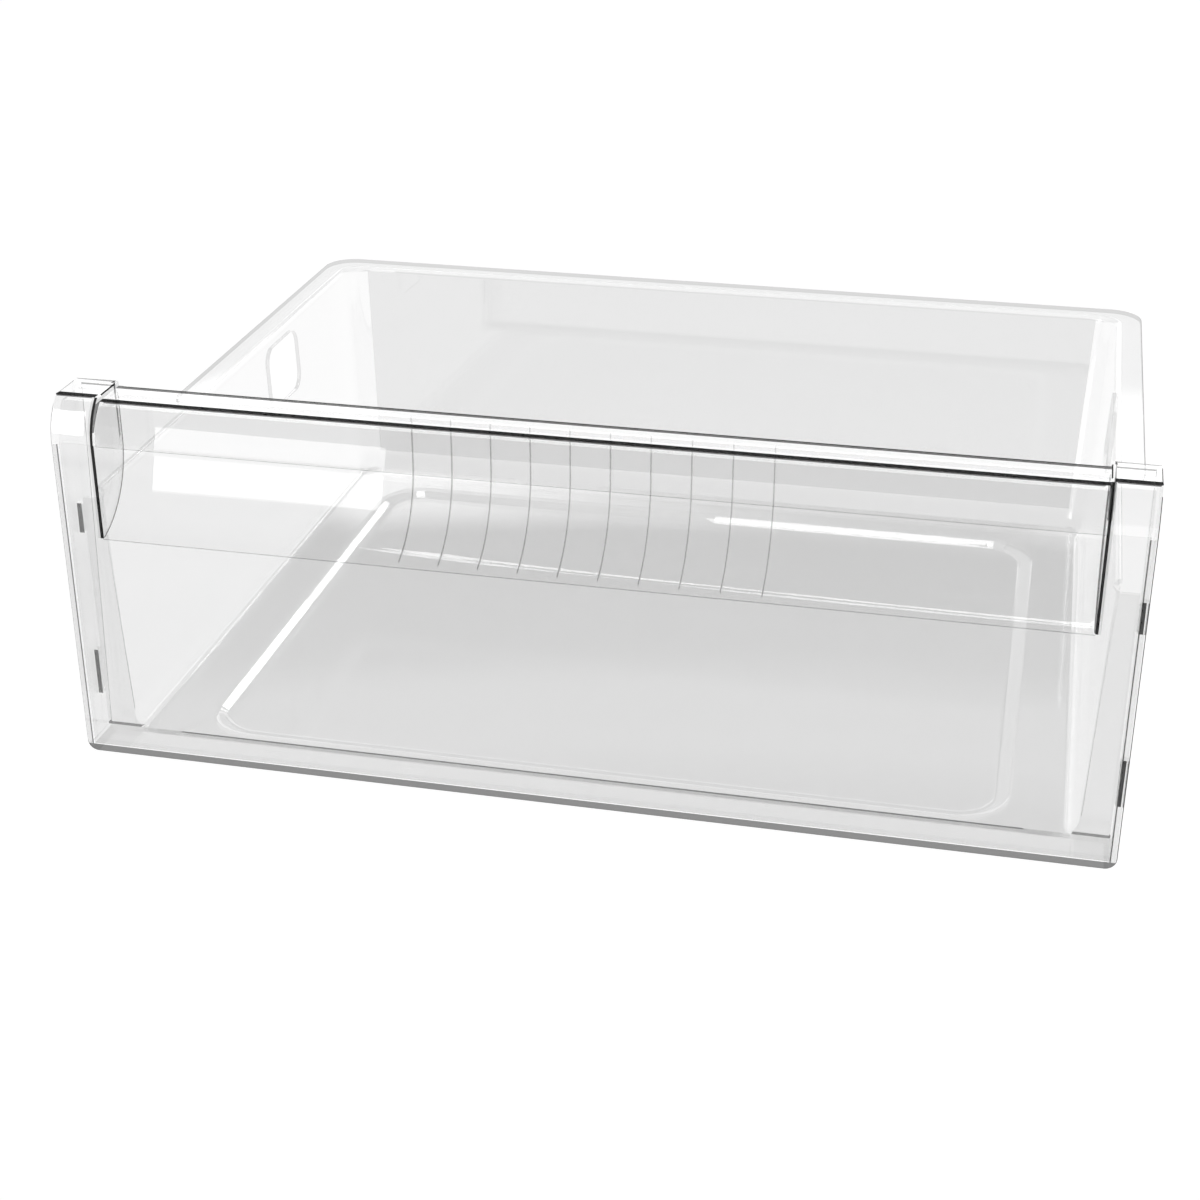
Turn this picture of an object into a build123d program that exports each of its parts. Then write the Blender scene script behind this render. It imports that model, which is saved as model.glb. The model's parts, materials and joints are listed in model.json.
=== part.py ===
from build123d import *
from math import radians, sqrt, tan
import os

os.makedirs("parts", exist_ok=True)

# Freezer drawer: a clear clip-on front with a scooped grip, and a drafted bin behind it.
# Millimetres. Z is up, the front faces -Y, the drawer is symmetric about X = 0.

# Overall sizes
front_width = 455.0
front_height = 168.0
overall_depth = 360.0

# Front panel
panel_wall = 2.5
sheet = 2.2
top_depth = 30.0
plate_depth = 21.0
top_setback = 8.8
hood_height = 19.0
bar_drop = 2.2
cheek_inset = 19.3
panel_corner = 5.0
edge_round = 1.0
lip_round = 0.8

# Concave grip wall
grip_opening = 42.0
grip_rise = 36.0
rib_count = 10
rib_pitch = 17.0
rib_width = 1.2
rib_height = 0.8

# Clip windows in the side returns, and the flanges of the bin that snap into them
window_low = 21.0
window_drop = 6.0
window_low_height = 22.0
window_high_height = 14.0
flange_setback = 16.5
flange_wall = 2.4
flange_head = 3.0
nose_reach = 1.8
clip_slack = 0.4
window_slack = 0.5
lap_gap = 0.3

# Bin
bin_wall = 2.3
floor_wall = 2.2
draft = 2.0
rim_height = 124.2
rim_wall = 2.2
rim_inset = 0.5
rim_reach = 13.5
rim_corner = 16.0
rim_front = 118.0
tub_corner = 12.0
floor_round = 8.0
inner_round = 1.5

# Sunk panel in the floor
pan_side_gap = 31.5
pan_front = 45.0
pan_back_gap = 34.5
pan_slope = 6.0
pan_corner = 16.0

# Hand holes in the side walls
hole_front = 214.0
hole_length = 42.0
hole_drop = 7.2
hole_height = 32.0
hole_corner = 8.0

# Derived sizes
front_y = -overall_depth / 2
half_width = front_width / 2
cheek_face = half_width - cheek_inset
lip_edge = front_height - hood_height
scoop_edge = lip_edge - grip_opening
scoop_turn = scoop_edge + grip_rise
window_high = scoop_edge - window_drop
flange_top = window_high + window_high_height + flange_head
hood_radius = (top_setback**2 + hood_height**2) / (2 * top_setback)
bar_top = front_height - bar_drop
grip_face = top_depth - sheet
grip_radius = (grip_face**2 + grip_rise**2) / (2 * grip_face)
grip_centre = grip_face - grip_radius
floor_under = panel_wall + lap_gap
floor_top = floor_under + floor_wall
rim_half = half_width - rim_inset
rim_inner = rim_half - rim_reach
back_inner = overall_depth - rim_reach
flange_edge = half_width - panel_wall - clip_slack
pan_half_width = rim_inner - pan_side_gap
pan_back = back_inner - pan_back_gap
hole_low = rim_height - hole_drop - hole_height

# Side view plane: sketch x runs back from the front face, sketch y is up
side = Plane(origin=(0, front_y, 0), x_dir=(0, 1, 0), z_dir=(1, 0, 0))
# Plan view plane: sketch x is world X, sketch y runs back from the front face
plan = Plane(origin=(0, front_y, 0))
# Front view plane at the bin's front edge, looking from the back: sketch x is world X, sketch y is up
bin_face = Plane(origin=(0, front_y + flange_setback, 0), x_dir=(1, 0, 0), z_dir=(0, -1, 0))


# Depth of the hood's curve behind the front face, at a height and an inset into the wall
def hood_depth(height, inset):
    return hood_radius - sqrt((hood_radius - inset) ** 2 - (height - lip_edge) ** 2)


# Height of the concave grip wall at a depth, at an inset into the wall
def grip_height(depth, inset):
    return scoop_turn - sqrt((grip_radius + inset) ** 2 - (depth - grip_centre) ** 2)


grip_root = grip_height(panel_wall, sheet)

with BuildPart() as front_panel:
    # Outer form of the panel, with the face leaning back above the lip's edge
    with BuildSketch(side):
        with BuildLine():
            face_line = Line((0, 0), (0, lip_edge))
            hood_line = TangentArc((0, lip_edge), (top_setback, front_height), tangent=(0, 1))
            top_line = Line(hood_line @ 1, (top_depth, front_height))
            back_line = Line(top_line @ 1, (plate_depth, 0))
            base_line = Line(back_line @ 1, face_line @ 0)
        make_face()
    extrude(amount=half_width, both=True)
    fillet(front_panel.edges().filter_by(Axis.Y).group_by(Axis.Z)[0], panel_corner)
    # Soft outer edge down both sides and along the foot
    flat_face = front_panel.faces().filter_by(GeomType.PLANE).sort_by(Axis.Y)[0]
    hood_face = front_panel.faces().filter_by(GeomType.CYLINDER).sort_by(Axis.Z)[-1]
    outline = flat_face.edges().sort_by(Axis.Z)[:-1] + hood_face.edges().filter_by(GeomType.CIRCLE)
    fillet(outline, edge_round)
    # Open back: one wall all round
    with BuildSketch(side):
        with BuildLine():
            inner_face = Line((panel_wall, panel_wall), (panel_wall, lip_edge))
            inner_hood = TangentArc(
                (panel_wall, lip_edge),
                (hood_depth(front_height - panel_wall, panel_wall), front_height - panel_wall),
                tangent=(0, 1),
            )
            inner_top = Line(inner_hood @ 1, (2 * top_depth, front_height - panel_wall))
            inner_back = Line(inner_top @ 1, (2 * top_depth, panel_wall))
            inner_base = Line(inner_back @ 1, inner_face @ 0)
        make_face()
    extrude(amount=half_width - panel_wall, both=True, mode=Mode.SUBTRACT)
    # Grip opening between the cheeks
    with BuildSketch(side):
        with Locations((0, grip_root)):
            Rectangle(4 * top_depth, front_height, align=(Align.CENTER, Align.MIN))
    extrude(amount=cheek_face, both=True, mode=Mode.SUBTRACT)
    # Hood, top bar and concave grip wall in one bent sheet
    with BuildSketch(side):
        with BuildLine():
            hood_out = TangentArc((0, lip_edge), (hood_depth(bar_top, 0), bar_top), tangent=(0, 1))
            bar_out = Line(hood_out @ 1, (top_depth, bar_top))
            grip_back = Line(bar_out @ 1, (top_depth, scoop_turn))
            grip_out = TangentArc((top_depth, scoop_turn), (panel_wall, grip_root), tangent=(0, -1))
            root_line = Line(grip_out @ 1, (0, grip_root))
            edge_line = Line(root_line @ 1, (0, scoop_edge))
            grip_in = TangentArc((grip_face, scoop_turn), (0, scoop_edge), tangent=(0, -1))
            grip_front = Line(grip_in @ 0, (grip_face, bar_top - sheet))
            bar_in = Line(grip_front @ 1, (hood_depth(bar_top - sheet, sheet), bar_top - sheet))
            hood_in = TangentArc((sheet, lip_edge), bar_in @ 1, tangent=(0, 1))
            lip_line = Line(hood_in @ 0, hood_out @ 0)
        make_face()
        # Softened lower edge of the grip and of the lip
        soft_points = ((0, scoop_edge), (0, lip_edge), (sheet, lip_edge))
        fillet([vertices().sort_by_distance(point)[0] for point in soft_points], lip_round)
    extrude(amount=cheek_face, both=True)
    # Cheeks that close the grip at both ends
    with BuildSketch(side.offset(cheek_face), side.offset(-cheek_face - sheet)):
        with BuildLine():
            cheek_face_line = Line((0, grip_root), (0, lip_edge))
            cheek_hood = TangentArc((0, lip_edge), (top_setback, front_height), tangent=(0, 1))
            cheek_top = Line(cheek_hood @ 1, (top_depth, front_height))
            cheek_back = Line(cheek_top @ 1, (top_depth, scoop_turn))
            cheek_grip = TangentArc((top_depth, scoop_turn), (panel_wall, grip_root), tangent=(0, -1))
            cheek_root = Line(cheek_grip @ 1, cheek_face_line @ 0)
        make_face()
    extrude(amount=sheet)
    # Fine upright ribs on the grip wall
    rib_planes = [
        side.offset((index - (rib_count - 1) / 2) * rib_pitch - rib_width / 2) for index in range(rib_count)
    ]
    rib_foot = scoop_edge + rib_height
    rib_foot_depth = grip_centre + sqrt(grip_radius**2 - (scoop_turn - rib_foot) ** 2)
    with BuildSketch(*rib_planes):
        with BuildLine():
            rib_root = TangentArc((grip_face, scoop_turn), (rib_foot_depth, rib_foot), tangent=(0, -1))
            rib_end = Line(
                rib_root @ 1,
                (rib_foot_depth, scoop_turn - sqrt((grip_radius - rib_height) ** 2 - (rib_foot_depth - grip_centre) ** 2)),
            )
            rib_crest = TangentArc((grip_face - rib_height, scoop_turn), rib_end @ 1, tangent=(0, -1))
            rib_upright = Line(rib_crest @ 0, (grip_face - rib_height, bar_top - sheet))
            rib_head = Line(rib_upright @ 1, (grip_face, bar_top - sheet))
            rib_back = Line(rib_head @ 1, rib_root @ 0)
        make_face()
    extrude(amount=rib_width)
    # Clip windows in both side returns
    window_depth = flange_wall + 2 * window_slack
    window_mid = flange_setback + flange_wall / 2
    with BuildSketch(side.offset(half_width - 2 * panel_wall), side.offset(-half_width - panel_wall)):
        with Locations((window_mid, window_low)):
            Rectangle(window_depth, window_low_height, align=(Align.CENTER, Align.MIN))
        with Locations((window_mid, window_high)):
            Rectangle(window_depth, window_high_height, align=(Align.CENTER, Align.MIN))
    extrude(amount=3 * panel_wall, mode=Mode.SUBTRACT)

front_panel.part.label = "front_panel"
export_step(front_panel.part, "parts/front_panel.step")

# Half width and back depth of the tub's drafted inside, at a height
def tub_spread(height):
    return (rim_height - height) * tan(radians(draft))


# The tub is drawn longer than the bin and cut off at the bin's open front
tub_front = -overall_depth / 4


# Rounded rectangle on the plan plane, from its half width and its front and back depths
def plan_outline(half, front, back, corner):
    with Locations((0, (front + back) / 2)):
        RectangleRounded(2 * half, back - front, corner)


with BuildPart() as tub_inside:
    floor_spread = tub_spread(floor_top)
    with BuildSketch(plan.offset(floor_top)):
        plan_outline(rim_inner - floor_spread, tub_front, back_inner - floor_spread, tub_corner)
    extrude(amount=front_height, taper=-draft)
    fillet(tub_inside.faces().sort_by(Axis.Z)[0].edges(), floor_round)

with BuildPart() as pan_inside:
    with BuildSketch(plan.offset(floor_wall)):
        plan_outline(
            pan_half_width - pan_slope,
            pan_front + pan_slope,
            pan_back - pan_slope,
            pan_corner - pan_slope,
        )
    with BuildSketch(plan.offset(floor_top)):
        plan_outline(pan_half_width, pan_front, pan_back, pan_corner)
    loft(ruled=True)

with BuildPart() as drawer_bin:
    # Drafted tub with a rounded bottom edge
    under_spread = tub_spread(floor_under) - bin_wall
    with BuildSketch(plan.offset(floor_under)):
        plan_outline(
            rim_inner - under_spread,
            tub_front - bin_wall,
            back_inner - under_spread,
            tub_corner + bin_wall,
        )
    extrude(amount=rim_height - floor_under, taper=-draft)
    fillet(drawer_bin.faces().sort_by(Axis.Z)[0].edges(), floor_round + bin_wall)
    # Outward rim
    with BuildSketch(plan.offset(rim_height - rim_wall)):
        plan_outline(rim_half, rim_front, overall_depth, rim_corner)
    extrude(amount=rim_wall)
    # Open front
    with BuildSketch(plan):
        with Locations((0, flange_setback)):
            Rectangle(2 * front_width, overall_depth, align=(Align.CENTER, Align.MAX))
    extrude(amount=front_height, mode=Mode.SUBTRACT)
    # Outward flanges that lie inside the panel's side returns
    flange_root = rim_inner - tub_spread(floor_top) - floor_round
    for hand in (1, -1):
        with BuildSketch(bin_face):
            with Locations((hand * (flange_root + flange_edge) / 2, (floor_top + flange_top) / 2)):
                Rectangle(flange_edge - flange_root, flange_top - floor_top)
            # Snap noses that stand in the clip windows
            for low, height in ((window_low, window_low_height), (window_high, window_high_height)):
                with Locations((hand * (flange_edge + nose_reach / 2), low + height / 2)):
                    Rectangle(nose_reach, height - 2 * window_slack)
        extrude(amount=-flange_wall)
    # Sunk panel of the floor, from below
    with BuildSketch(plan):
        plan_outline(
            pan_half_width - pan_slope + sheet / 2,
            pan_front + pan_slope - sheet / 2,
            pan_back - pan_slope + sheet / 2,
            pan_corner - pan_slope + sheet / 2,
        )
    with BuildSketch(plan.offset(floor_under)):
        plan_outline(
            pan_half_width + sheet / 2,
            pan_front - sheet / 2,
            pan_back + sheet / 2,
            pan_corner + sheet / 2,
        )
    loft(ruled=True)
    add(tub_inside.part, mode=Mode.SUBTRACT)
    add(pan_inside.part, mode=Mode.SUBTRACT)
    # Hand holes through both side walls
    with BuildSketch(side):
        with Locations((hole_front + hole_length / 2, hole_low + hole_height / 2)):
            RectangleRounded(hole_length, hole_height, hole_corner)
    extrude(amount=front_width, both=True, mode=Mode.SUBTRACT)
    # Soft inner edge along the rim and round the open front
    rim_face = drawer_bin.faces().filter_by(Axis.Z).sort_by(Axis.Z)[-1]
    front_face = drawer_bin.faces().filter_by(Axis.Y).sort_by(Axis.Y)[0]
    inner_edges = (rim_face.edges() + front_face.edges()).filter_by_position(
        Axis.X, -rim_inner - inner_round / 2, rim_inner + inner_round / 2
    )
    inner_edges = inner_edges.filter_by_position(Axis.Y, front_y, front_y + back_inner + inner_round / 2)
    fillet(inner_edges.filter_by_position(Axis.Z, floor_top - inner_round / 2, rim_height + inner_round), inner_round)

drawer_bin.part.label = "bin"
export_step(drawer_bin.part, "parts/bin.step")
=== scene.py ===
import bpy
import json
from math import radians
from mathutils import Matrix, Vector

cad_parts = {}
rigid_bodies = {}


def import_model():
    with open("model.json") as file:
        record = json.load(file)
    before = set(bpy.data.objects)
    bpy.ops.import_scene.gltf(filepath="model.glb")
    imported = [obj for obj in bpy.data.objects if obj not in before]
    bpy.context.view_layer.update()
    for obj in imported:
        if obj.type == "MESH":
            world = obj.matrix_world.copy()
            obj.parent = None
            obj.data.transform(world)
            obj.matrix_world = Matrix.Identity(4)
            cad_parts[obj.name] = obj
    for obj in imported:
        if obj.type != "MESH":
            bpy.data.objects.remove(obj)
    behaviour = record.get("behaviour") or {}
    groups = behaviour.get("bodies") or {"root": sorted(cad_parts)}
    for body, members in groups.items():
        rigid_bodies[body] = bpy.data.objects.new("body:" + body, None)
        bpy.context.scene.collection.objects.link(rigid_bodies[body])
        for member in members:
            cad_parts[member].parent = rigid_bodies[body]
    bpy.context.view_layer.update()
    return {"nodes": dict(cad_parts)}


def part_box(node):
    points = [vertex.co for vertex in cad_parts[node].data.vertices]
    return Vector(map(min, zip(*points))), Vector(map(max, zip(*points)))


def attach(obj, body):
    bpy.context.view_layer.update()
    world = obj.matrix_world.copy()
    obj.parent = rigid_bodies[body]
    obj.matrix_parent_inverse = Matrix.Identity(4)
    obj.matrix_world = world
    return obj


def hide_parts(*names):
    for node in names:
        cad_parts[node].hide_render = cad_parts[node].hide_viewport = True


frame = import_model()
print("frame loaded:", ", ".join(frame["nodes"]))

mm = 0.001
# lengths this close count as the same, and a place is looked up with this much room around it
tolerance, slack = 0.05 * mm, 0.1 * mm
# the share of a normal along an axis from which a face counts as facing that way
flat = 0.9
scene = bpy.context.scene
scene.view_settings.view_transform = "Standard"


def linearColour(hexCode):
    channels = [int(hexCode[i:i + 2], 16) / 255 for i in (1, 3, 5)]
    return tuple(c / 12.92 if c <= 0.04045 else ((c + 0.055) / 1.055) ** 2.4 for c in channels) + (1.0,)


# adds one node, sets its values by attribute or by socket, and links its inputs
def addNode(tree, kind, settings=None, links=None):
    node = tree.nodes.new(kind)
    for name, value in (settings or {}).items():
        if isinstance(name, int) or name in node.inputs:
            node.inputs[name].default_value = value
        else:
            setattr(node, name, value)
    for name, output in (links or {}).items():
        tree.links.new(output, node.inputs[name])
    return node


def newMaterial(name):
    material = bpy.data.materials.new(name)
    material.use_nodes = True
    material.node_tree.nodes.clear()
    return material, material.node_tree


def inMetres(settings):
    return {name: value * mm for name, value in settings.items()}


# camera at the photograph's viewing angle, in metres and degrees
cameraView = {
    "place": (0.1781, -0.9331, 0.4787),
    "tiltDown": 26.09,
    "turn": 12.57,
    "lens": 62.84,
    "sensor": 36.0,
    "clipStart": 0.01,
}
bpy.ops.object.select_all(action="DESELECT")
bpy.ops.object.camera_add(
    location=cameraView["place"],
    rotation=(radians(90 - cameraView["tiltDown"]), 0, radians(cameraView["turn"])),
)
camera = bpy.context.object
camera.name = "photo_camera"
camera.data.sensor_width = cameraView["sensor"]
camera.data.lens = cameraView["lens"]
camera.data.clip_start = cameraView["clipStart"]
scene.camera = camera
print("camera placed")

# crystal polystyrene, injection moulded in a polished tool: water clear, faintly grey, with slow
# moulded waves that bend a reflection a little; its thin walls hardly bend what is seen through them
sheetIor, coatIor, shadowTint = 1.0, 1.57, "#F2F2F2"
# wave lengths and heights in millimetres
plasticLooks = {
    "front": {"tint": "#F8F8F8", "gloss": 1.0, "wave": 45, "waveHeight": 0.02},
    "bin": {"tint": "#FBFBFB", "gloss": 1.0, "wave": 60, "waveHeight": 0.03},
    # painted shade: the plate's back, the bin's floor underside and the flanges' fronts are painted a little
    # greyer than the rest, standing in for the shade seen through them
    "painted_shade_pane": {"tint": "#E4E4E4", "gloss": 1.0, "wave": 60, "waveHeight": 0.03},
    # painted shade: the same plastic painted darker where it is seen along its thickness, in the rim, the
    # cheeks and the foot, and on the hand holes' edges, the panel's sides and the bin's back
    "thick_painted_shade": {"tint": "#D4D4D4", "gloss": 1.0, "wave": 45, "waveHeight": 0.02},
    # the side walls and the sunk panel's near slopes mirror little of the studio; the slopes are also painted
    # a darker grey as shade
    "side_wall": {"tint": "#FBFBFB", "gloss": 0.15, "wave": 60, "waveHeight": 0.03},
    "slope": {"tint": "#E7E7E7", "gloss": 0.15, "wave": 60, "waveHeight": 0.03},
    # painted shade: cut and rounded edges, where light is led away inside the sheet, are painted in as pale,
    # grey and dark lines
    "painted_pale_line": {"tint": "#B0B0B0", "gloss": 0.0, "wave": 12, "waveHeight": 0.01},
    "painted_grey_line": {"tint": "#484848", "gloss": 0.0, "wave": 12, "waveHeight": 0.01},
    "painted_dark_line": {"tint": "#040404", "gloss": 0.0, "wave": 12, "waveHeight": 0.01},
}


def clearPolystyrene(look):
    settings = plasticLooks[look]
    material, tree = newMaterial("clear_polystyrene_" + look)
    place = addNode(tree, "ShaderNodeTexCoord").outputs["Object"]
    waves = addNode(tree, "ShaderNodeTexNoise", {"Scale": 1 / (settings["wave"] * mm), "Detail": 1.0},
                    {"Vector": place})
    relief = addNode(tree, "ShaderNodeBump", {"Strength": 1.0, "Distance": settings["waveHeight"] * mm},
                     {"Height": waves.outputs["Fac"]})
    shader = addNode(tree, "ShaderNodeBsdfPrincipled", {
        "Base Color": linearColour(settings["tint"]),
        "Roughness": 0.0,
        "IOR": sheetIor,
        "Transmission Weight": 1.0,
        "Coat Weight": settings["gloss"],
        "Coat Roughness": 0.0,
        "Coat IOR": coatIor,
    }, {"Normal": relief.outputs["Normal"], "Coat Normal": relief.outputs["Normal"]})
    shade = addNode(tree, "ShaderNodeBsdfTransparent", {"Color": linearColour(shadowTint)})
    path = addNode(tree, "ShaderNodeLightPath")
    mix = addNode(tree, "ShaderNodeMixShader", links={0: path.outputs["Is Shadow Ray"]})
    tree.links.new(shader.outputs[0], mix.inputs[1])
    tree.links.new(shade.outputs[0], mix.inputs[2])
    addNode(tree, "ShaderNodeOutputMaterial", links={"Surface": mix.outputs[0]})
    return material


plastics = {look: clearPolystyrene(look) for look in plasticLooks}
# the shared looks after the clear one and the side wall are painted shade: greyer panes, thick faces and
# slopes, and pale, grey and dark painted lines
sharedLooks = ("painted_shade_pane", "thick_painted_shade", "side_wall", "slope", "painted_pale_line", "painted_grey_line", "painted_dark_line")
clearSlot, paintedPaneShadeSlot, paintedThickShadeSlot, wallSlot, paintedSlopeShadeSlot, paintedPaleLineSlot, paintedGreyLineSlot, paintedDarkLineSlot = range(8)


def giveMaterials(piece, clearLook):
    piece.data.materials.clear()
    for look in (clearLook,) + sharedLooks:
        piece.data.materials.append(plastics[look])


# selects, in edit mode, the corners, edges or faces whose corner points all pass a test
def pick(kind, test):
    bpy.ops.mesh.select_mode(type=kind)
    bpy.ops.mesh.select_all(action="DESELECT")
    bpy.ops.object.mode_set(mode="OBJECT")
    mesh = bpy.context.object.data
    points = [vertex.co.copy() for vertex in mesh.vertices]
    if kind == "VERT":
        for vertex in mesh.vertices:
            vertex.select = test([vertex.co])
    else:
        for item in mesh.edges if kind == "EDGE" else mesh.polygons:
            item.select = test([points[i] for i in item.vertices])
    bpy.ops.object.mode_set(mode="EDIT")


# selects, in edit mode, the outward edges that bend more than an angle and whose ends pass a test
def pickSharp(angle, test):
    bpy.ops.mesh.select_mode(type="EDGE")
    bpy.ops.mesh.select_all(action="DESELECT")
    bpy.ops.object.mode_set(mode="OBJECT")
    mesh = bpy.context.object.data
    facesOf = {}
    for face in mesh.polygons:
        for key in face.edge_keys:
            facesOf.setdefault(key, []).append(face)
    for edge in mesh.edges:
        first, second = facesOf[edge.key]
        loop = list(first.vertices)
        start, end = edge.vertices
        if loop[(loop.index(start) + 1) % len(loop)] != end:
            start, end = end, start
        along = mesh.vertices[end].co - mesh.vertices[start].co
        outward = first.normal.cross(second.normal).dot(along) > 0
        sharp = outward and first.normal.angle(second.normal) > angle
        edge.select = sharp and test((mesh.vertices[start].co, mesh.vertices[end].co))
    bpy.ops.object.mode_set(mode="EDIT")


def near(value, target):
    return abs(value - target) < tolerance


def spread(points, axis):
    return max(point[axis] for point in points) - min(point[axis] for point in points)


def applyModifier(piece, kind, **settings):
    modifier = piece.modifiers.new(kind.lower(), kind)
    for name, value in settings.items():
        setattr(modifier, name, value)
    bpy.ops.object.modifier_apply(modifier=modifier.name)


# bin moulding, modelled as one thin skin and given its wall afterwards; sizes in millimetres
binMoulding = {
    "wall": 2.2,
    "floorTop": 5.0,
    "draft": 4.16,
    "rimReach": 13.5,
    "rimFront": 118.0,
    "rimCorner": 16.0,
    "rimLead": 12.0,
    "rimBend": 3.2,
    "tubCorner": 12.0,
    "overrun": 30.0,
    "floorRound": 8.0,
    "flangeEdge": 224.6,
    "flangeTop": 118.0,
    "flangeBend": 3.0,
    "noseReach": 1.8,
    "panHalf": 182.0,
    "panFront": 22.0,
    "panBack": 312.0,
    "panSlope": 6.0,
    "panDrop": 2.8,
    "panCorner": 24.0,
    "panBend": 1.6,
    "holeFront": 214.0,
    "holeLength": 42.0,
    "holeLow": 85.0,
    "holeHeight": 32.0,
    "holeCorner": 8.0,
    "edgeRound": 0.45,
    # how wide an outline's border is with its corners, and how tall a face of the walls is
    "outlineBand": 25.0,
    "tallFace": 50.0,
    # the tight corners between floor and flanges, which stay sharp
    "tightSide": 20.0,
    "tightDepth": 6.0,
    "tightRise": 4.0,
    "weld": 0.12,
    "merge": 0.01,
    "sliver": 0.001,
}
noseSpans = ((21.5, 42.5), (101.5, 114.5))
cornerSteps, bendSteps, flangeSteps, edgeSteps = 10, 8, 6, 3
binSharp, cutterReach, edgeMark = 50, 2.4, paintedPaneShadeSlot
# how far each band of painted shade on the bin reaches, in millimetres
binShadeReach = {
    "rimEdge": 2.5,
    "rimOuter": 9.0,
    "rimSkin": 0.5,
    "rimInside": 3.0,
    "holeMargin": 1.0,
    "footDepth": 3.0,
    "footRise": 0.5,
    "footBevel": 0.6,
    "footLine": 4.0,
    "wallSkin": 3.0,
    "panMargin": 12.0,
    "frontSkin": 1.0,
}
slopeSteepest, slopeFlattest, slopeTurn = 0.5, 0.98, 0.2


# whether a point lies on the border of a level rounded rectangle
def onOutline(point, outline):
    height, half, front, back = outline
    band = binMoulding["outlineBand"] * mm
    within = abs(point.x) < half + slack and front - slack < point.y < back + slack
    onBorder = abs(point.x) > half - band or point.y < front + band or point.y > back - band
    return near(point.z, height) and within and onBorder


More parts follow.
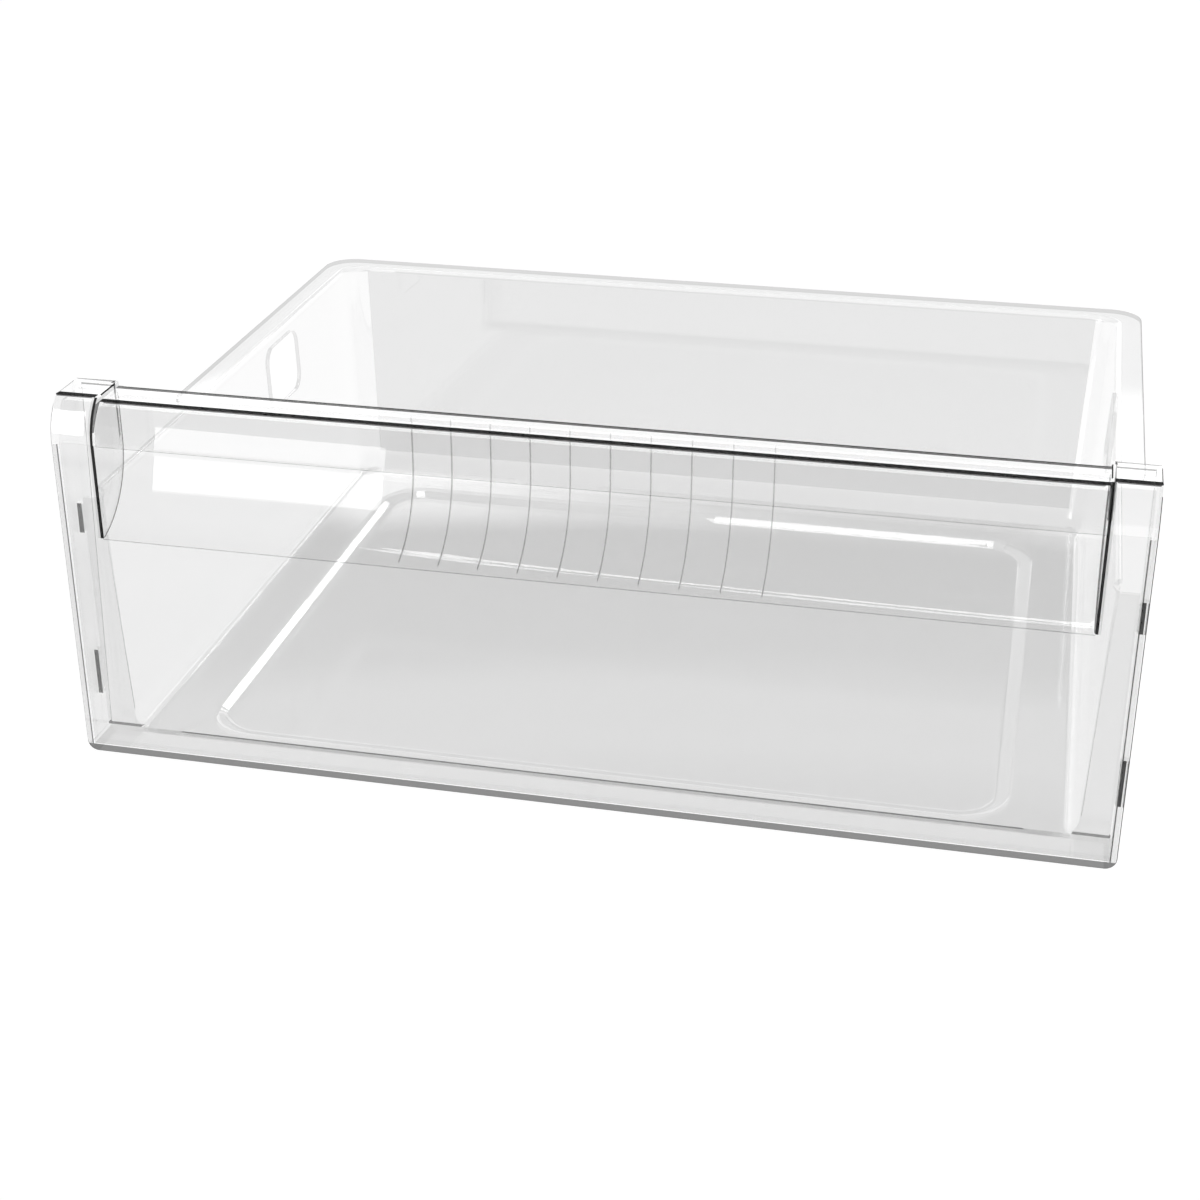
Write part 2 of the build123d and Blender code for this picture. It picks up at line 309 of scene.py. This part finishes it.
def makeBin():
    size, tint = inMetres(binMoulding), inMetres(binShadeReach)
    low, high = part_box("bin")
    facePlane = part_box("front_panel")[0].y
    rimTop, floorTop, panLow = high.z, size["floorTop"], size["floorTop"] - size["panDrop"]
    rimHalf, rimInner = high.x, high.x - size["rimReach"]
    frontY, backY = low.y, high.y - size["rimReach"]
    cutY = frontY - size["overrun"]
    rimFrontY = facePlane + size["rimFront"]
    panFront, panBack = facePlane + size["panFront"], facePlane + size["panBack"]
    slope, draft = size["panSlope"], size["draft"]
    wallFoot = rimInner - draft
    # outlines from the sunk panel up and out to the rim: height, half width, front, back, corner
    outlines = (
        (panLow, size["panHalf"] - slope, panFront + slope, panBack - slope, size["panCorner"] - slope),
        (floorTop, size["panHalf"], panFront, panBack, size["panCorner"]),
        (floorTop, wallFoot, cutY, backY - draft, size["tubCorner"]),
        (rimTop, rimInner, cutY, backY, size["tubCorner"]),
        (rimTop, rimHalf, cutY, high.y, size["rimCorner"]),
    )
    bpy.ops.object.select_all(action="DESELECT")
    for index, (height, half, front, back, corner) in enumerate(outlines):
        bpy.ops.mesh.primitive_plane_add(size=1.0, location=(0, (front + back) / 2, height))
        if index == 0:
            piece = bpy.context.object
            piece.name = "bin_moulding"
            giveMaterials(piece, "bin")
            bpy.ops.transform.resize(value=(2 * half, back - front, 1))
            bpy.ops.object.transform_apply(location=True, rotation=True, scale=True)
            bpy.ops.object.mode_set(mode="EDIT")
            bpy.ops.mesh.select_all(action="SELECT")
        else:
            bpy.ops.transform.resize(value=(2 * half, back - front, 1),
                                     center_override=(0, (front + back) / 2, height))
        bpy.ops.mesh.bevel(offset=corner, segments=cornerSteps, affect="VERTICES")
        if index > 0:
            bpy.ops.mesh.delete(type="ONLY_FACE")
            # bridge this outline to the one before it
            inside = outlines[index - 1]
            pick("EDGE", lambda ends: all(onOutline(c, (height, half, front, back)) for c in ends)
                 or all(onOutline(c, inside[:4]) for c in ends))
            bpy.ops.mesh.bridge_edge_loops()
    # soft bends along each outline inside the rim
    bends = (size["panBend"], size["panBend"], size["floorRound"], size["rimBend"])
    for outline, bend in zip(outlines, bends):
        pick("EDGE", lambda ends: all(onOutline(c, outline[:4]) for c in ends))
        bpy.ops.mesh.bevel(offset=bend, segments=bendSteps, affect="EDGES")
    # open front, and no rim beside the grip
    bpy.ops.mesh.select_all(action="SELECT")
    bpy.ops.mesh.bisect(plane_co=(0, frontY, 0), plane_no=(0, -1, 0), clear_outer=True)
    pick("FACE", lambda ends: all(near(c.z, rimTop) for c in ends))
    bpy.ops.mesh.bisect(plane_co=(0, rimFrontY, 0), plane_no=(0, 1, 0))
    pick("FACE", lambda ends: all(near(c.z, rimTop) and c.y < rimFrontY + slack for c in ends))
    bpy.ops.mesh.delete(type="FACE")
    pick("VERT", lambda ends: near(abs(ends[0].x), rimHalf) and near(ends[0].y, rimFrontY))
    bpy.ops.mesh.bevel(offset=size["rimLead"], segments=bendSteps, affect="VERTICES")
    # flanges beside the open front, bent out of the walls
    flangeTop, flangeEdge = size["flangeTop"], size["flangeEdge"]
    pick("FACE", lambda ends: all(abs(c.x) > wallFoot - slack for c in ends)
         and spread(ends, 2) > size["tallFace"])
    bpy.ops.mesh.bisect(plane_co=(0, 0, flangeTop), plane_no=(0, 0, 1))

    def onBend(ends):
        inPlane = all(near(c.y, frontY) and c.z < flangeTop + slack for c in ends)
        return inPlane and all(abs(c.x) < rimInner for c in ends) and spread(ends, 2) > tolerance

    for hand in (-1, 1):
        pick("EDGE", lambda ends: onBend(ends) and ends[0].x * hand > 0)
        bpy.ops.mesh.extrude_region_move(TRANSFORM_OT_translate={"value": (hand * size["rimReach"], 0, 0)})
        bpy.ops.transform.resize(value=(0, 1, 1), center_override=(hand * flangeEdge, 0, 0))
    pick("EDGE", onBend)
    bpy.ops.mesh.bevel(offset=size["flangeBend"], segments=flangeSteps, affect="EDGES")
    # snap noses along the flanges
    for spot in [end * mm for span in noseSpans for end in span]:
        pick("FACE", lambda ends: all(near(c.y, frontY) for c in ends))
        bpy.ops.mesh.bisect(plane_co=(0, 0, spot), plane_no=(0, 0, 1))
    for hand in (-1, 1):
        for bottom, top in noseSpans:
            pick("EDGE", lambda ends: all(near(c.x, hand * flangeEdge) for c in ends)
                 and all(bottom * mm - slack < c.z < top * mm + slack for c in ends))
            bpy.ops.mesh.extrude_region_move(
                TRANSFORM_OT_translate={"value": (hand * size["noseReach"], 0, 0)})
    bpy.ops.mesh.select_all(action="SELECT")
    bpy.ops.mesh.remove_doubles(threshold=size["weld"])
    bpy.ops.mesh.normals_make_consistent(inside=False)
    bpy.ops.object.mode_set(mode="OBJECT")
    # the wall grows outwards from the skin, away from the side that the floor shows upwards
    floorUp = max(piece.data.polygons, key=lambda face: face.area).normal.z
    applyModifier(piece, "SOLIDIFY", thickness=size["wall"], offset=-1 if floorUp > 0 else 1,
                  use_even_offset=True, material_offset_rim=edgeMark)
    # hand holes through both side walls, cut by one rounded bar
    holeY = facePlane + size["holeFront"] + size["holeLength"] / 2
    holeZ = size["holeLow"] + size["holeHeight"] / 2
    bpy.ops.object.select_all(action="DESELECT")
    bpy.ops.mesh.primitive_cube_add(size=1.0, location=(0, holeY, holeZ))
    cutter = bpy.context.object
    bpy.ops.transform.resize(value=(cutterReach * rimHalf, size["holeLength"], size["holeHeight"]))
    bpy.ops.object.transform_apply(location=True, rotation=True, scale=True)
    bpy.ops.object.mode_set(mode="EDIT")
    pick("EDGE", lambda ends: spread(ends, 0) > rimHalf)
    bpy.ops.mesh.bevel(offset=size["holeCorner"], segments=bendSteps, affect="EDGES")
    bpy.ops.object.mode_set(mode="OBJECT")
    giveMaterials(cutter, "bin")
    for face in cutter.data.polygons:
        face.material_index = edgeMark
    bpy.ops.object.select_all(action="DESELECT")
    piece.select_set(True)
    bpy.context.view_layer.objects.active = piece
    applyModifier(piece, "BOOLEAN", operation="DIFFERENCE", solver="EXACT", object=cutter)
    bpy.data.objects.remove(cutter)

    # soften the outward edges, but for the tight corners between floor and flanges; the rounds are first
    # painted as grey shade lines
    def inTightCorner(point):
        beside = wallFoot - size["tightSide"] < abs(point.x) < rimInner
        return beside and point.y < frontY + size["tightDepth"] and point.z < floorTop + size["tightRise"]

    bpy.ops.object.mode_set(mode="EDIT")
    pickSharp(radians(binSharp), lambda ends: not any(inTightCorner(c) for c in ends))
    bpy.ops.mesh.bevel(offset=size["edgeRound"], segments=edgeSteps, affect="EDGES",
                       clamp_overlap=False, material=paintedGreyLineSlot)
    bpy.ops.mesh.select_all(action="SELECT")
    bpy.ops.mesh.remove_doubles(threshold=size["merge"])
    bpy.ops.mesh.dissolve_degenerate(threshold=size["sliver"])
    bpy.ops.mesh.normals_make_consistent(inside=False)
    bpy.ops.object.mode_set(mode="OBJECT")
    # painted shade: grey lines are painted along the foot and pale ones along the rim; the rim's top, the
    # hand holes' edges and the back are painted darker, as where more plastic is seen through; the side walls
    # take the less glossy plastic, the sunk panel's near slopes a painted darker grey, and the undersides and
    # front faces the pane's painted grey
    for face in piece.data.polygons:
        x, y, z = abs(face.center.x), face.center.y, face.center.z
        normal = face.normal
        edge, bevelled = face.material_index != clearSlot, face.material_index == paintedGreyLineSlot
        onRimEdge = z > rimTop - tint["rimEdge"] and (x > rimInner + tint["rimOuter"]
                                                      or y > backY + tint["rimOuter"])
        onRimTop = z > rimTop - tint["rimSkin"] and (x > rimInner + tint["rimInside"]
                                                     or y > backY + tint["rimInside"])
        onHole = (abs(y - holeY) < size["holeLength"] / 2 + tint["holeMargin"]
                  and abs(z - holeZ) < size["holeHeight"] / 2 + tint["holeMargin"])
        onBack = y > backY and normal.y > flat
        onWall = x > wallFoot - tint["wallSkin"] and abs(normal.x) > flat and z < rimTop - size["rimBend"]
        lean = normal if normal.z > 0 else -normal
        inPan = z < floorTop and y > frontY + tint["footDepth"] and x < wallFoot - tint["panMargin"]
        onSlope = (inPan and slopeSteepest < lean.z < slopeFlattest
                   and (lean.x < -slopeTurn or lean.y > slopeTurn))
        onFoot = y < frontY + tint["footDepth"] and z < floorTop + tint["footRise"]
        flangeFoot = x > wallFoot and y < frontY + tint["footDepth"] and z < tint["footLine"]
        footEdge = edge and onFoot and x > wallFoot
        floorEdge = bevelled and onFoot and z > floorTop - tint["footBevel"]
        underside = normal.z < -flat and z < floorTop
        frontSide = normal.y < -flat and y < frontY + tint["frontSkin"]
        if flangeFoot or footEdge or floorEdge:
            face.material_index = paintedGreyLineSlot
        elif edge and onRimEdge:
            face.material_index = paintedPaleLineSlot
        elif edge and onHole or onRimTop or onBack:
            face.material_index = paintedThickShadeSlot
        elif onWall:
            face.material_index = wallSlot
        elif onSlope:
            face.material_index = paintedSlopeShadeSlot
        elif underside or frontSide:
            face.material_index = paintedPaneShadeSlot
        else:
            face.material_index = clearSlot
    return piece


# front panel, from the solid's own form with its sharp edges softened; sizes in millimetres
panelMoulding = {
    "panelWall": 2.5,
    "sideWall": 2.5,
    "cheekInset": 19.3,
    "cheekWall": 2.2,
    "scoopEdge": 107.0,
    "lipEdge": 149.0,
    "barDrop": 2.2,
    "barRecess": 3.4,
    "hoodDepth": 14.0,
    "hoodStep": 0.4,
    "hoodMargin": 2.0,
    "ribsHalf": 82.0,
    "ribPitch": 17.0,
    "ribZone": 1.0,
    "edgeRound": 0.5,
    "edgeMin": 5.0,
    "merge": 0.01,
}
ribCount, ribSqueeze, hoodCurve = 10, 0.35, 1.5
# in degrees: what is dissolved as flat, and what is softened as sharp
flatAngle, panelSharp = 0.5, 40
# how far each band of painted shade on the front panel reaches, in millimetres
panelShadeReach = {
    "cheekLine": 1.2,
    "cheekRound": 0.6,
    "sideLine": 0.6,
    "edgeLine": 0.4,
    "footBand": 3.7,
    "footDepth": 1.5,
    "barFrontLine": 3.8,
    "barBackLine": 3.3,
    "frontSkin": 0.5,
    "insideSkin": 1.0,
    "outlineSkin": 2.0,
    "outlineDepth": 6.0,
    "windowSkin": 3.0,
    "windowLow": 15.0,
    "windowHigh": 125.0,
    "hiddenDepth": 15.0,
}
frontTurn, sideTurn = 0.3, 0.6


def makePanel():
    size, tint = inMetres(panelMoulding), inMetres(panelShadeReach)
    source = frame["nodes"]["front_panel"]
    bpy.ops.object.select_all(action="DESELECT")
    source.select_set(True)
    bpy.context.view_layer.objects.active = source
    bpy.ops.object.duplicate()
    piece = bpy.context.object
    piece.name = "panel_moulding"
    bpy.ops.object.parent_clear(type="CLEAR_KEEP_TRANSFORM")
    bpy.ops.mesh.customdata_custom_splitnormals_clear()
    giveMaterials(piece, "front")
    bpy.ops.object.mode_set(mode="EDIT")
    bpy.ops.mesh.select_all(action="SELECT")
    bpy.ops.mesh.remove_doubles(threshold=size["merge"])
    bpy.ops.mesh.dissolve_limited(angle_limit=radians(flatAngle), delimit={"NORMAL"})
    bpy.ops.mesh.normals_make_consistent(inside=False)
    low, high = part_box("front_panel")
    cheekFace = high.x - size["cheekInset"]
    cheekBack = cheekFace + size["cheekWall"]
    sideInner = high.x - size["sideWall"]
    scoopEdge, lip = size["scoopEdge"], size["lipEdge"]
    barTop, barBack = high.z - size["barDrop"], high.y - tint["barBackLine"]
    hoodEnd = cheekFace - size["hoodStep"]
    # strips for the cheeks' front edges, the sides and the foot, which carry painted shade lines
    for hand in (-1, 1):
        for edge in (cheekFace, cheekFace + tint["cheekLine"], cheekBack):
            pick("FACE", lambda ends: min(c.x * hand for c in ends) < edge - slack
                 and max(c.x * hand for c in ends) > edge + slack)
            bpy.ops.mesh.bisect(plane_co=(hand * edge, 0, 0), plane_no=(1, 0, 0))
    for edge in (sideInner, sideInner - tint["sideLine"]):
        for hand in (-1, 1):
            pick("FACE", lambda ends: all(near(c.y, low.y) for c in ends))
            bpy.ops.mesh.bisect(plane_co=(hand * edge, 0, 0), plane_no=(1, 0, 0))
    pick("FACE", lambda ends: all(near(c.y, low.y) for c in ends))
    bpy.ops.mesh.bisect(plane_co=(0, 0, tint["footBand"]), plane_no=(0, 0, 1))
    pick("FACE", lambda ends: all(near(c.y, low.y) and cheekFace - slack < abs(c.x) < cheekBack + slack
                                  for c in ends))
    bpy.ops.mesh.bisect(plane_co=(0, 0, scoopEdge), plane_no=(0, 0, 1))
    # the bar's hood leans back a little more than the end blocks
    for hand in (-1, 1):
        for edge in (hoodEnd, hoodEnd - size["hoodMargin"]):
            pick("FACE", lambda ends: all(c.z > scoopEdge and abs(c.x) < cheekFace + slack for c in ends))
            bpy.ops.mesh.bisect(plane_co=(hand * edge, 0, 0), plane_no=(1, 0, 0))
    bpy.ops.object.mode_set(mode="OBJECT")
    for vertex in piece.data.vertices:
        rise = (vertex.co.z - lip) / (barTop - lip)
        if rise > 0 and abs(vertex.co.x) < hoodEnd + slack and vertex.co.y < low.y + size["hoodDepth"]:
            vertex.co.y += size["barRecess"] * rise ** hoodCurve
    bpy.ops.object.mode_set(mode="EDIT")
    # strips along the back and front edges of the bar and of the end blocks, which carry painted shade lines
    frontLines = []
    for top in (barTop, high.z):
        pick("FACE", lambda ends: all(near(c.z, top) for c in ends))
        bpy.ops.mesh.bisect(plane_co=(0, barBack, 0), plane_no=(0, 1, 0))
        pick("FACE", lambda ends: all(near(c.z, top) for c in ends))
        bpy.ops.object.mode_set(mode="OBJECT")
        front = min(vertex.co.y for vertex in piece.data.vertices
                    if near(vertex.co.z, top) and (top > barTop or abs(vertex.co.x) < hoodEnd + slack))
        bpy.ops.object.mode_set(mode="EDIT")
        bpy.ops.mesh.bisect(plane_co=(0, front + tint["barFrontLine"], 0), plane_no=(0, 1, 0))
        frontLines.append(front + tint["barFrontLine"])
    # fine ribs
    ribSpots = [(index - (ribCount - 1) / 2) * size["ribPitch"] for index in range(ribCount)]
    for spot in ribSpots:
        pick("VERT", lambda ends: abs(ends[0].x - spot) < size["ribZone"])
        bpy.ops.transform.resize(value=(ribSqueeze, 1, 1), center_override=(spot, 0, 0))
    # soften the outward edges, but for those of the ribs; the rounds are painted as grey shade lines
    pickSharp(radians(panelSharp), lambda ends: (ends[1] - ends[0]).length > size["edgeMin"]
              and max(abs(c.x) for c in ends) > size["ribsHalf"])
    bpy.ops.mesh.bevel(offset=size["edgeRound"], segments=edgeSteps, affect="EDGES",
                       clamp_overlap=False, material=paintedGreyLineSlot)
    bpy.ops.object.mode_set(mode="OBJECT")
    # painted shade: dark lines painted on the front edges of the bar, the blocks and the cheeks and on the
    # outlines, a painted grey foot, back line and lip line, painted pale ribs and scoop line, and cheeks and
    # sides painted darker as where more plastic is seen through
    for face in piece.data.polygons:
        x, y, z = abs(face.center.x), face.center.y, face.center.z
        depth, normal, bevelled = y - low.y, face.normal, face.material_index == paintedGreyLineSlot
        top, barFront = (high.z, frontLines[1]) if x > cheekFace else (barTop, frontLines[0])
        frontLine = near(z, top) and y < barFront
        backLine = near(z, top) and y > barBack
        onCheek = cheekFace - slack < x < cheekBack + slack and z > scoopEdge and normal.y < -frontTurn
        cheekFront = onCheek and x < cheekFace + tint["cheekLine"]
        cheekEdge = (bevelled and abs(x - cheekFace) < tint["cheekRound"]
                     and z > scoopEdge - tint["insideSkin"])
        cheekSide = near(x, cheekFace) and z > scoopEdge and abs(normal.x) > flat
        inGrip = depth > tint["insideSkin"] and z < barTop - tint["insideSkin"]
        cheekBorder = hoodEnd < x < cheekFace - tolerance and inGrip and normal.y < 0
        ribGap = min(abs(face.center.x - spot) for spot in ribSpots)
        onRib = ribGap < size["ribZone"] and inGrip and x < size["ribsHalf"]
        onPlate = depth < tint["frontSkin"] and x < cheekFace
        lipLine = onPlate and lip < z < lip + tint["edgeLine"]
        scoopLine = onPlate and abs(z - scoopEdge + tint["edgeLine"]) < tint["edgeLine"] / 2
        onFoot = z < tint["footBand"] and depth < tint["footDepth"]
        footInside = near(z, size["panelWall"])
        sideStrip = near(y, low.y) and x > sideInner
        sideLine = near(y, low.y) and sideInner - tint["sideLine"] < x < sideInner
        outline = (x > high.x - tint["outlineSkin"] and abs(normal.x) > sideTurn
                   and depth < tint["outlineDepth"])
        window = (x > high.x - tint["windowSkin"] and depth > tint["windowSkin"] and normal.y > flat
                  and tint["windowLow"] < z < tint["windowHigh"])
        plateBack = near(y, low.y + size["panelWall"]) and normal.y > flat and z < scoopEdge
        hidden = bevelled and depth > tint["hiddenDepth"] and z < lip
        if frontLine or cheekEdge or window or outline or cheekFront:
            face.material_index = paintedDarkLineSlot
        elif backLine or onFoot or cheekBorder or sideLine or lipLine:
            face.material_index = paintedGreyLineSlot
        elif scoopLine or onRib:
            face.material_index = paintedPaleLineSlot
        elif cheekSide or footInside or sideStrip or onCheek:
            face.material_index = paintedThickShadeSlot
        elif plateBack:
            face.material_index = paintedPaneShadeSlot
        elif hidden:
            face.material_index = clearSlot
    return piece


smoothAngle, normalWeight = 40, 100
panelPiece = makePanel()
binPiece = makeBin()
for piece, slotName, nodeName in ((panelPiece, "clear_front", "front_panel"), (binPiece, "clear_bin", "bin")):
    bpy.ops.object.select_all(action="DESELECT")
    piece.select_set(True)
    bpy.context.view_layer.objects.active = piece
    bpy.ops.object.shade_smooth_by_angle(angle=radians(smoothAngle))
    applyModifier(piece, "WEIGHTED_NORMAL", keep_sharp=True, weight=normalWeight)
    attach(piece, "root")
    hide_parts(nodeName)
    print(piece.name, "made:", len(piece.data.polygons), "faces")

# white studio floor: white to the eye and through the plastic, with a share of plain paper that takes
# the shadow
studioFloor = {"size": 40.0, "paper": "#E0E0E0", "glow": 0.8, "white": 1.2}
plainWhite = linearColour("#FFFFFF")
bpy.ops.object.select_all(action="DESELECT")
bpy.ops.mesh.primitive_plane_add(size=studioFloor["size"], location=(0, 0, 0))
floor = bpy.context.object
floor.name = "studio_floor"
bpy.ops.object.transform_apply(location=True, rotation=True, scale=True)
floorMaterial, tree = newMaterial("white_paper_floor")
path = addNode(tree, "ShaderNodeLightPath")
seen = addNode(tree, "ShaderNodeMath", {"operation": "MAXIMUM"},
               {0: path.outputs["Is Camera Ray"], 1: path.outputs["Is Glossy Ray"]})
seen = addNode(tree, "ShaderNodeMath", {"operation": "MAXIMUM"},
               {0: seen.outputs[0], 1: path.outputs["Is Transmission Ray"]})
share = addNode(tree, "ShaderNodeMath", {"operation": "MULTIPLY", 1: studioFloor["glow"]},
                {0: seen.outputs[0]})
diffuse = addNode(tree, "ShaderNodeBsdfDiffuse", {"Color": linearColour(studioFloor["paper"])})
glow = addNode(tree, "ShaderNodeEmission", {"Color": plainWhite, "Strength": studioFloor["white"]})
mix = addNode(tree, "ShaderNodeMixShader", links={0: share.outputs[0]})
tree.links.new(diffuse.outputs[0], mix.inputs[1])
tree.links.new(glow.outputs[0], mix.inputs[2])
addNode(tree, "ShaderNodeOutputMaterial", links={"Surface": mix.outputs[0]})
floor.data.materials.append(floorMaterial)

# studio walls, which light the drawer and show in its reflections, by the sine of the height angle:
# behind the drawer a low bright strip and dim above, and in front of it a dim room
backWall = ((0.0, "#D0D0D0"), (0.335, "#D0D0D0"), (0.345, "#FFFFFF"), (0.395, "#FFFFFF"), (0.41, "#303030"),
            (0.46, "#303030"), (0.475, "#808080"), (0.50, "#808080"), (0.52, "#282828"), (1.0, "#282828"))
frontWall = ((0.0, "#808080"), (0.5, "#606060"), (1.0, "#282828"))
studioSky = {"back": 2.0, "front": 1.0, "seen": 1.0}
# soft boxes: middle and half size along X, Y and up, as parts of a unit direction
skySpots = {
    "left_slope": {"strength": 6.0, "X": (0.137, 0.03), "Y": (0.5, 0.5), "Z": (0.52, 0.062)},
    "back_slope": {"strength": 6.0, "X": (-0.05, 0.5), "Y": (0.5, 0.5), "Z": (0.955, 0.005)},
    "left_block": {"strength": 6.0, "X": (-0.52, 0.09), "Y": (-0.75, 0.25), "Z": (0.3, 0.35)},
    "left_hood": {"strength": 2.0, "X": (-0.35, 0.05), "Y": (-0.75, 0.25), "Z": (0.3, 0.35)},
}
world = bpy.data.worlds.new("studio")
scene.world = world
world.use_nodes = True
world.node_tree.nodes.clear()
tree = world.node_tree
place = addNode(tree, "ShaderNodeTexCoord")
split = addNode(tree, "ShaderNodeSeparateXYZ", links={0: place.outputs["Generated"]})
walls = []
for stops in (backWall, frontWall):
    ramp = addNode(tree, "ShaderNodeValToRGB", links={0: split.outputs["Z"]})
    while len(ramp.color_ramp.elements) < len(stops):
        ramp.color_ramp.elements.new(0.5)
    for stop, (at, colour) in zip(ramp.color_ramp.elements, stops):
        stop.position = at
        stop.color = linearColour(colour)
    walls.append(ramp.outputs["Color"])
back = addNode(tree, "ShaderNodeBackground", {"Strength": studioSky["back"]}, {"Color": walls[0]})
front = addNode(tree, "ShaderNodeBackground", {"Strength": studioSky["front"]}, {"Color": walls[1]})
behind = addNode(tree, "ShaderNodeMath", {"operation": "GREATER_THAN", 1: 0.0}, {0: split.outputs["Y"]})
light = addNode(tree, "ShaderNodeMixShader",
                links={0: behind.outputs[0], 1: front.outputs[0], 2: back.outputs[0]})
for spot in skySpots.values():
    spotLight = addNode(tree, "ShaderNodeBackground", {"Color": plainWhite, "Strength": spot["strength"]})
    inside = None
    for axis in "XYZ":
        middle, half = spot[axis]
        test = addNode(tree, "ShaderNodeMath", {"operation": "COMPARE", 1: middle, 2: half},
                       {0: split.outputs[axis]})
        if inside:
            test = addNode(tree, "ShaderNodeMath", {"operation": "MULTIPLY"},
                           {0: inside.outputs[0], 1: test.outputs[0]})
        inside = test
    light = addNode(tree, "ShaderNodeMixShader",
                    links={0: inside.outputs[0], 1: light.outputs[0], 2: spotLight.outputs[0]})
# plain white where the room itself is looked at
path = addNode(tree, "ShaderNodeLightPath")
white = addNode(tree, "ShaderNodeBackground", {"Color": plainWhite, "Strength": studioSky["seen"]})
light = addNode(tree, "ShaderNodeMixShader",
                links={0: path.outputs["Is Camera Ray"], 1: light.outputs[0], 2: white.outputs[0]})
addNode(tree, "ShaderNodeOutputWorld", links={"Surface": light.outputs[0]})
print("studio lit")
